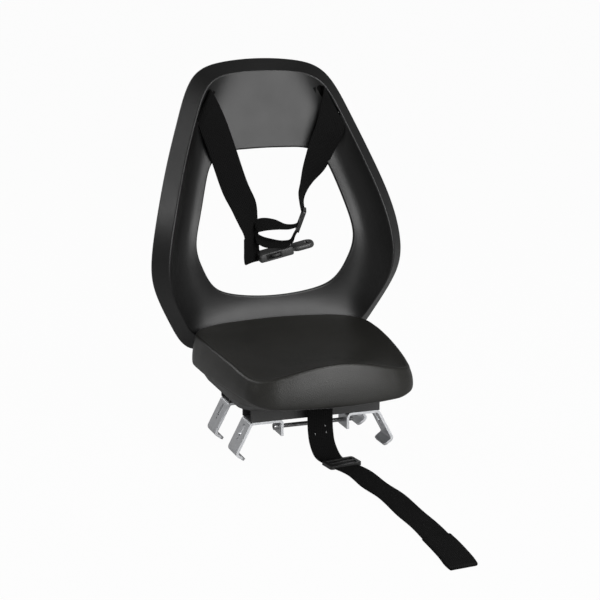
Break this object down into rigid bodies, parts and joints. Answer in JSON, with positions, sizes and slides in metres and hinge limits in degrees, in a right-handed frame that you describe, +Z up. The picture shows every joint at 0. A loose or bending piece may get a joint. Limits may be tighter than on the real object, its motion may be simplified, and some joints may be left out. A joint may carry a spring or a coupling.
{
  "type": "rear child bike seat",
  "caption": "Rear child bike seat: padded saddle on a pan with steel rack hooks, a fold-down ring-shaped backrest, webbing shoulder harness and crotch strap.",
  "frame": {"origin": "middle of the four rack hooks in plan, on the underside of their bars, where the rack tubes touch", "axes": "+Z up; the seat faces -Y, so +Y points to the rear of the seat; +X to the right of someone looking at its front"},
  "size_m": [0.3172, 0.5941, 0.4405],
  "materials": {
    "shell_plastic": "fine moulded grain, satin black",
    "pan_plastic": "moulded black",
    "pad_skin": "soft integral foam skin, satin black",
    "zinc_steel": "bright zinc plated",
    "bolt_steel": "zinc plated",
    "arm_paint": "black powder coat",
    "webbing": "woven black webbing",
    "fitting_plastic": "moulded black acetal"
  },
  "bodies": {
    "seat": {"seat_pan": "pan_plastic", "seat_pad": "pad_skin", "front_rail": "pan_plastic", "rear_rail": "pan_plastic", "guide_screws": "bolt_steel", "rail_screws": "bolt_steel", "hinge_arm_left": "arm_paint", "hinge_arm_right": "arm_paint", "hinge_screws": "bolt_steel", "crotch_strap": "webbing", "crotch_loop": "webbing", "crotch_slider": "fitting_plastic"},
    "backrest": {"backrest_shell": "shell_plastic", "hinge_pins": "bolt_steel", "shoulder_strap_left": "webbing", "shoulder_strap_right": "webbing", "chest_strap_upper": "webbing", "chest_strap_lower": "webbing", "chest_slider": "fitting_plastic", "buckle_body": "fitting_plastic", "buckle_tongue": "fitting_plastic", "strap_anchors": "fitting_plastic"},
    "front_left_hook": {"hook_front_left": "zinc_steel"},
    "front_right_hook": {"hook_front_right": "zinc_steel", "front_clamp_nut": "bolt_steel"},
    "rear_left_hook": {"hook_rear_left": "zinc_steel"},
    "rear_right_hook": {"hook_rear_right": "zinc_steel", "rear_clamp_nut": "bolt_steel"},
    "front_bolt": {"front_clamp_bolt": "bolt_steel"},
    "rear_bolt": {"rear_clamp_bolt": "bolt_steel"}
  },
  "joints": [
    {"name": "backrest_fold", "type": "hinge", "parent": "seat", "child": "backrest", "pos_m": [0, 0.108, 0.103], "axis": [1, 0, 0], "range_deg": [0, 86]},
    {"name": "front_left_slide", "type": "slide", "parent": "seat", "child": "front_left_hook", "axis": [1, 0, 0], "range_m": [0, 0.022]},
    {"name": "front_right_slide", "type": "slide", "parent": "seat", "child": "front_right_hook", "axis": [-1, 0, 0], "range_m": [0, 0.022]},
    {"name": "front_bolt_turn", "type": "hinge", "parent": "front_left_hook", "child": "front_bolt", "pos_m": [0, -0.0425, -0.009], "axis": [1, 0, 0], "range_deg": [0, 19800]},
    {"name": "rear_left_slide", "type": "slide", "parent": "seat", "child": "rear_left_hook", "axis": [1, 0, 0], "range_m": [0, 0.022]},
    {"name": "rear_right_slide", "type": "slide", "parent": "seat", "child": "rear_right_hook", "axis": [-1, 0, 0], "range_m": [0, 0.022]},
    {"name": "rear_bolt_turn", "type": "hinge", "parent": "rear_left_hook", "child": "rear_bolt", "pos_m": [0, 0.0425, -0.009], "axis": [1, 0, 0], "range_deg": [0, 19800]}
  ],
  "couplings": [
    {"joint": "front_right_slide", "follows": "front_left_slide", "ratio": 1},
    {"joint": "front_bolt_turn", "follows": "front_left_slide", "rad_per_m": 15708},
    {"joint": "rear_right_slide", "follows": "rear_left_slide", "ratio": 1},
    {"joint": "rear_bolt_turn", "follows": "rear_left_slide", "rad_per_m": 15708}
  ]
}
